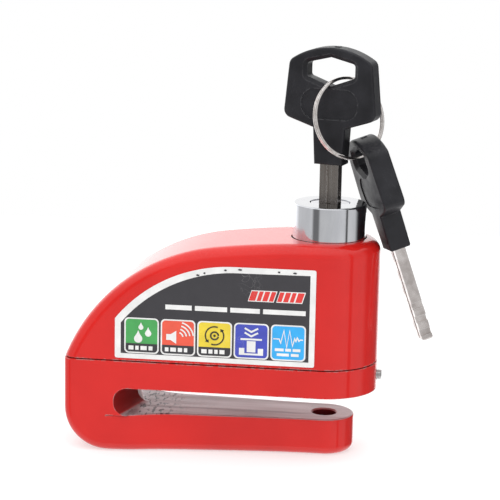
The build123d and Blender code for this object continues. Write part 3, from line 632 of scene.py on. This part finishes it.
def buildTiles():
    rims = [roundRect(x, tile["bottom"], tile["wide"], tile["tall"], tile["corner"]) for x in tileLefts]
    printShapes("tileRims", rims, 2, "inkWhite")
    rim = tile["rim"]
    corner = tile["corner"] - rim * 0.6
    low = tile["bottom"] + rim
    for colour, x in zip(("Green", "Orange", "Yellow", "Blue", "Cyan"), tileLefts):
        face = roundRect(x + rim, low, tile["wide"] - 2 * rim, tile["tall"] - 2 * rim, corner)
        printShapes("tile" + colour, [face], 3, "ink" + colour)
    footers = []
    for x in tileLefts[:3]:
        left, right = x + rim, x + tile["wide"] - rim
        footers.append(arcPoints((left + corner, low + corner), corner, 180, 270, 5)
                       + arcPoints((right - corner, low + corner), corner, -90, 0, 5)
                       + [(right, low + tile["footer"]), (left, low + tile["footer"])])
    printShapes("tileFooters", footers, 4, "inkCharcoal")


def buildChips():
    # the border is chipped through here and there along its upper edge
    chips = [[(x, z), (x + wide * 0.4, z + 0.32), (x + wide, z + 0.12), (x + wide * 0.85, z - 0.28),
              (x + wide * 0.3, z - 0.2)] for x, z, wide in chipSpots]
    printShapes("borderChips", chips, 4, "inkCharcoal")


buildField()
buildTiles()
buildChips()


def drop(x, z, radius):
    # a water drop: a round belly under a point
    shoulder = radius * 0.35
    belly = arcPoints((x, z), radius, -205, 25, 18)
    high = z + radius * 1.25
    return belly + [(x + shoulder, high), (x, z + radius * 2.1), (x - shoulder, high)]


def bars(left, bottom, tall, widths, gap, lean=0.0):
    # plain blocks in place of words
    shapes, x, top = [], left, bottom + tall
    for wide in widths:
        shapes.append([(x, bottom), (x + wide, bottom), (x + wide + lean, top), (x + lean, top)])
        x += wide + gap
    return shapes


def shifted(points, x, z):
    return [(x + px, z + pz) for px, pz in points]


# symbols, in millimetres from each tile's lower left corner
drops = [(5.0, 8.0, 0.75), (7.2, 6.2, 0.95), (4.2, 4.5, 1.25)]
horn = {"centre": (5.3, 5.6), "waves": (1.4, 1.05), "line": 0.42,
        "body": [(1.7, 4.6), (3.0, 4.6), (4.7, 3.5), (4.7, 7.5), (3.0, 6.4), (1.7, 6.4)]}
plunger = {"chevron": [(3.2, 9.4), (5.2, 8.3), (7.2, 9.4)], "chevronStep": 1.35, "line": 0.55,
           "cup": [(1.6, 1.2), (8.8, 1.2), (8.8, 3.3), (7.2, 3.3), (7.2, 1.75), (3.2, 1.75), (3.2, 3.3),
                   (1.6, 3.3)]}
pulse = {"line": 0.34,
         "wave": [(0.8, 6.6), (2.5, 6.6), (3.0, 5.4), (3.9, 9.2), (4.8, 4.1), (5.6, 9.2), (6.5, 4.6),
                  (7.1, 6.9), (7.5, 6.1), (7.9, 7.2), (8.4, 6.2), (8.8, 6.6), (9.6, 6.6)]}
footerWidths = [(1.5, 1.0, 1.9, 1.2), (1.1, 1.7, 1.3, 1.0), (1.6, 1.2, 1.0, 1.5)]
pinEnd = {"centre": (5.2, 6.55), "turnRadius": 2.75, "line": 0.42, "rim": 1.15, "rimLine": 0.5, "dot": 0.4,
          "arrowSides": (2.1, 3.4)}
title = {"lefts": (-21.8, -13.4), "bottom": 49.0, "tall": 2.9, "widths": (1.9, 1.2, 1.5, 1.3), "gap": 0.45,
         "lean": 0.9, "rim": 0.25, "rimLean": 1.05}
caption = {"left": -46.6, "bottom": 45.1, "tall": 1.45, "widths": (7.9, 9.6, 8.8, 12.6), "gap": 0.95}


def buildWhiteSymbols():
    low = tile["bottom"]
    green, orange, _, blue, cyan = tileLefts
    white = [drop(green + x, low + z, radius) for x, z, radius in drops]
    centre = (orange + horn["centre"][0], low + horn["centre"][1])
    first, step = horn["waves"]
    white += [arcBand(centre, first + step * i, horn["line"], 8, 76) for i in range(4)]
    white.append(shifted(horn["body"], orange, low))
    for x, widths in zip(tileLefts, footerWidths):
        white += bars(x + 1.3, low + 1.05, 1.25, widths, 0.55)
    # a plunger over a cup, with two chevrons that point down to it
    for fall in (0, plunger["chevronStep"]):
        white.append(strip(shifted(plunger["chevron"], blue, low - fall), plunger["line"]))
    white += bars(blue + 2.0, low + 5.75, 0.55, (6.4,), 0)
    white += bars(blue + 3.9, low + 2.1, 3.4, (2.6,), 0)
    white.append(shifted(plunger["cup"], blue, low))
    white.append(strip(shifted(pulse["wave"], cyan, low), pulse["line"]))
    white += bars(cyan + 1.3, low + 2.9, 0.85, (2.6, 1.7, 2.3), 0.5)
    white += bars(cyan + 1.9, low + 1.4, 0.85, (3.6, 2.3), 0.6)
    printShapes("tileSymbols", white, 5, "inkWhite")


def buildPinSymbol():
    # two arrows chase each other round a pin's end
    centre = (tileLefts[2] + pinEnd["centre"][0], tile["bottom"] + pinEnd["centre"][1])
    radius = pinEnd["turnRadius"]
    dark = []
    for turn in (0, 180):
        dark.append(arcBand(centre, radius, pinEnd["line"], 70 + turn, 215 + turn))
        tail = [arcPoints(centre, side, 212 + turn, 212 + turn, 1)[0] for side in pinEnd["arrowSides"]]
        dark.append(tail + arcPoints(centre, radius, 232 + turn, 232 + turn, 1)[:1])
    dark.append(arcBand(centre, pinEnd["rim"], pinEnd["rimLine"], 0, 350, 24))
    dark.append(arcPoints(centre, pinEnd["dot"], 0, 340, 16))
    printShapes("pinSymbol", dark, 5, "inkDark")


def buildTitle():
    # slanted stripes over a white edge, then a row of plain blocks below
    stripes, edge = [], []
    rim, widths = title["rim"], title["widths"]
    for left, row in zip(title["lefts"], (widths, widths[::-1])):
        stripes += bars(left, title["bottom"], title["tall"], row, title["gap"], title["lean"])
        wider = [wide + title["gap"] for wide in row]
        edge += bars(left - rim, title["bottom"] - rim, title["tall"] + 2 * rim, wider, 0, title["rimLean"])
    printShapes("titleEdge", edge, 2, "inkWhite")
    printShapes("titleStripes", stripes, 3, "inkRed")
    blocks = bars(caption["left"], caption["bottom"], caption["tall"], caption["widths"], caption["gap"])
    printShapes("captionBars", blocks, 2, "inkWhite")


buildWhiteSymbols()
buildPinSymbol()
buildTitle()
print("label printed")


def tubeFaces(spans, count):
    # the skin of a tube, with both ends closed: spans + 1 loops of count points each
    faces = []
    for i in range(spans):
        for k in range(count):
            a, b = i * count + k, i * count + (k + 1) % count
            faces.append([a, b, b + count, a + count])
    faces.append(list(range(count)))
    faces.append([spans * count + k for k in reversed(range(count))])
    return faces


# split ring: flat wire wound twice, with the two ends either side of the step
ring = {"inner": 11.45 * mm, "outer": 12.35 * mm, "wire": 0.57 * mm, "pitch": 0.77 * mm, "corner": 0.2 * mm,
        "endTurn": 84.0, "step": 56.0, "spans": 300, "endShrink": 0.86}


def ringFrame():
    # the CAD ring's own centre and plane, and the direction in it from its centre to the key
    points = np.array([v.co for v in nodes["split_ring"].data.vertices], float)
    centre = (points.min(0) + points.max(0)) / 2
    normal = np.linalg.svd(points - points.mean(0), full_matrices=False)[2][2]
    if normal[1] > 0:
        normal = -normal
    top = Vector(joints["ring_swing"]["pos_m"]) - Vector(centre)
    normal = Vector(normal)
    top = (top - normal * top.dot(normal)).normalized()
    return Vector(centre), normal, top, normal.cross(top)


def wireSection():
    halfTall, halfWire, corner = (ring["outer"] - ring["inner"]) / 2, ring["wire"] / 2, ring["corner"]
    section = []
    for sx, sy, start in ((1, 1, 0), (-1, 1, 90), (-1, -1, 180), (1, -1, 270)):
        section += [(sx * (halfTall - corner) + corner * cos(radians(start + a)),
                     sy * (halfWire - corner) + corner * sin(radians(start + a))) for a in (0, 30, 60, 90)]
    return section


def buildSplitRing():
    centre, normal, top, side = ringFrame()
    middle = (ring["inner"] + ring["outer"]) / 2
    section = wireSection()
    step = radians(ring["step"])
    total = 4 * pi - step
    points = []
    for i in range(ring["spans"] + 1):
        run = total * i / ring["spans"]
        rise = min(max((run - (2 * pi - step)) / step, 0), 1)
        shift = (rise * rise * (3 - 2 * rise) - 0.5) * ring["pitch"]
        angle = radians(ring["endTurn"]) + run
        outward = top * cos(angle) - side * sin(angle)
        # the cut ends are rubbed round, so the section shrinks a touch there
        shrink = ring["endShrink"] if i in (0, ring["spans"]) else 1.0
        for x, y in section:
            points.append(centre + outward * (middle + x * shrink) + normal * (shift + y * shrink))
    faces = tubeFaces(ring["spans"], len(section))
    piece = meshPiece("splitRingWire", points, faces, "ringSteel", "ring", smooth=True)
    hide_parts("split_ring")


buildSplitRing()
print("split ring wound")

# return spring: a wound coil, built at one fixed length (the real one closes up as the cylinder goes down);
# "wire" is the wire's radius
spring = {"turns": 6, "wire": 0.6 * mm, "sides": 10, "stepsPerTurn": 28, "slack": 0.15 * mm}


def buildReturnSpring():
    low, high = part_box("return_spring")
    wire, sides = spring["wire"], spring["sides"]
    radius = (high.x - low.x) / 2 - wire
    bottom, top = low.z + wire, high.z - wire
    steps = spring["turns"] * spring["stepsPerTurn"]
    points = []
    for i in range(steps + 1):
        turn = 2 * pi * spring["turns"] * i / steps
        outward = Vector((cos(turn), sin(turn), 0))
        here = outward * radius + Vector((0, 0, bottom + (top - bottom) * i / steps))
        for k in range(sides):
            around = 2 * pi * k / sides
            points.append(here + outward * wire * cos(around) + Vector((0, 0, wire * sin(around))))
    faces = tubeFaces(steps, sides)
    coil = meshPiece("returnSpringCoil", points, faces, "springWire", "lock_body",
                     smooth=True)
    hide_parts("return_spring")
    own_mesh(coil)


buildReturnSpring()
print("return spring wound")

studio = {"floorTone": (0.48, 0.48, 0.48, 1), "floorPale": (0.52, 0.52, 0.52, 1), "floorSize": 0.66,
          "floorGlow": 0.52, "floorRough": 0.9, "floorSpecular": 0.1, "backdrop": (1.0, 1.0, 1.0, 1),
          "ambient": 1.12}


def buildFloor():
    half = studio["floorSize"] / 2
    corners = [(-half, -half, 0), (half, -half, 0), (half, half, 0), (-half, half, 0)]
    mesh = bpy.data.meshes.new("studioFloor")
    mesh.from_pydata(corners, [], [(0, 1, 2, 3)])
    floor = bpy.data.objects.new("studioFloor", mesh)
    bpy.context.scene.collection.objects.link(floor)
    material, tree, shader = startMaterial("studioFloor")
    cloud = noiseNode(tree, objectPlace(tree), 3.0, 3.0)
    tone = mixColours(tree, cloud, studio["floorTone"], studio["floorPale"])
    join(tree, tone, shader.inputs["Base Color"])
    shader.inputs["Roughness"].default_value = studio["floorRough"]
    shader.inputs["Specular IOR Level"].default_value = studio["floorSpecular"]
    shader.inputs["Emission Color"].default_value = studio["backdrop"]
    shader.inputs["Emission Strength"].default_value = studio["floorGlow"]
    mesh.materials.append(material)
    floor.visible_glossy = False


# the tent's wall: azimuth in degrees from the front, towards the right, and how bright the wall is there
tent = {"level": 0.05, "wall": (0.62, 0.38), "roof": (1.0, 1.0, 1.0, 1),
        "stops": [(-180, 1.35), (-125, 1.3), (-105, 0.60), (-70, 0.55), (-52, 0.62), (-45, 0.16), (-30, 0.16),
                  (-24, 0.50), (20, 0.56), (48, 0.66), (56, 0.60), (59, 0.08), (63, 0.08), (66, 0.60),
                  (92, 0.55), (104, 0.06), (152, 0.08), (160, 1.3), (180, 1.35)]}


def tentWall(tree, direction):
    back = product(tree, direction["Y"], -1.0)
    turn = mathNode(tree, "ARCTAN2", direction["X"], back)
    turn = mathNode(tree, "ADD", mathNode(tree, "DIVIDE", turn, 2 * pi), 0.5)
    ramp = addNode(tree, "ShaderNodeValToRGB")
    elements = ramp.color_ramp.elements
    first, *between, last = tent["stops"]
    elements[0].position, elements[1].position = 0.0, 1.0
    for element, (degrees, tone) in ((elements[0], first), (elements[1], last)):
        element.color = (tone, tone, tone, 1)
    for degrees, tone in between:
        elements.new(degrees / 360 + 0.5).color = (tone, tone, tone, 1)
    join(tree, turn, ramp.inputs[0])
    return ramp.outputs[0]


def buildWorld():
    # plain white to the camera; to the object, a white tent with a few dark gaps at eye level
    world = bpy.data.worlds.new("studioTent")
    bpy.context.scene.world = world
    world.use_nodes = True
    tree = world.node_tree
    tree.nodes.clear()
    direction = splitAxes(tree, addNode(tree, "ShaderNodeTexCoord").outputs["Generated"])
    wall = tentWall(tree, direction)
    level = mathNode(tree, "ABSOLUTE", mathNode(tree, "SUBTRACT", direction["Z"], tent["level"]))
    tone = mixColours(tree, rangeNode(tree, level, *tent["wall"]), tent["roof"], wall)
    lit = addNode(tree, "ShaderNodeBackground", {"Strength": studio["ambient"]})
    join(tree, tone, lit.inputs["Color"])
    plain = addNode(tree, "ShaderNodeBackground", {"Color": studio["backdrop"], "Strength": 1.0})
    seen = addNode(tree, "ShaderNodeLightPath")
    blend = addNode(tree, "ShaderNodeMixShader")
    join(tree, seen.outputs["Is Camera Ray"], blend.inputs[0])
    join(tree, lit.outputs[0], blend.inputs[1])
    join(tree, plain.outputs[0], blend.inputs[2])
    join(tree, blend.outputs[0], addNode(tree, "ShaderNodeOutputWorld").inputs["Surface"])


lampAim = (-0.02, 0.0, 0.045)
softBoxes = {
    "topBox": {"at": (0.0, 0.05, 0.85), "size": (1.1, 1.1), "power": 4.2},
    "frontLeftBox": {"at": (-0.55, -0.75, 0.45), "size": (0.5, 0.7), "power": 2.4},
    "frontRightBox": {"at": (0.65, -0.7, 0.40), "size": (0.45, 0.7), "power": 1.8},
}


def buildLights():
    for name, values in softBoxes.items():
        light = bpy.data.lights.new(name, "AREA")
        light.shape = "RECTANGLE"
        light.size, light.size_y = values["size"]
        light.energy = values["power"]
        lamp = bpy.data.objects.new(name, light)
        lamp.location = values["at"]
        lamp.rotation_euler = (Vector(lampAim) - lamp.location).to_track_quat("-Z", "Y").to_euler()
        # the tent alone is mirrored in the chrome
        lamp.visible_glossy = False
        bpy.context.scene.collection.objects.link(lamp)


view = {"at": (0.047169, -0.565248, 0.183875), "forward": (-0.12161, 0.97003, -0.21034), "roll": 1.1,
        "lens": 139.27, "sensor": 36.0, "shiftX": -0.0005, "shiftY": -0.0046, "clip": (0.01, 50.0)}


def buildCamera():
    camera = bpy.data.cameras.new("productCamera")
    camera.lens = view["lens"]
    camera.sensor_width = view["sensor"]
    camera.shift_x, camera.shift_y = view["shiftX"], view["shiftY"]
    camera.clip_start, camera.clip_end = view["clip"]
    forward = Vector(view["forward"]).normalized()
    right = forward.cross(Vector((0, 0, 1))).normalized()
    up = right.cross(forward)
    roll = radians(view["roll"])
    right, up = right * cos(roll) + up * sin(roll), up * cos(roll) - right * sin(roll)
    holder = bpy.data.objects.new("productCamera", camera)
    turned = Matrix((right, up, -forward)).transposed().to_4x4()
    holder.matrix_world = Matrix.Translation(view["at"]) @ turned
    bpy.context.scene.collection.objects.link(holder)
    bpy.context.scene.camera = holder


buildFloor()
buildWorld()
buildLights()
buildCamera()
bpy.context.scene.view_settings.view_transform = "Standard"
print("studio ready")
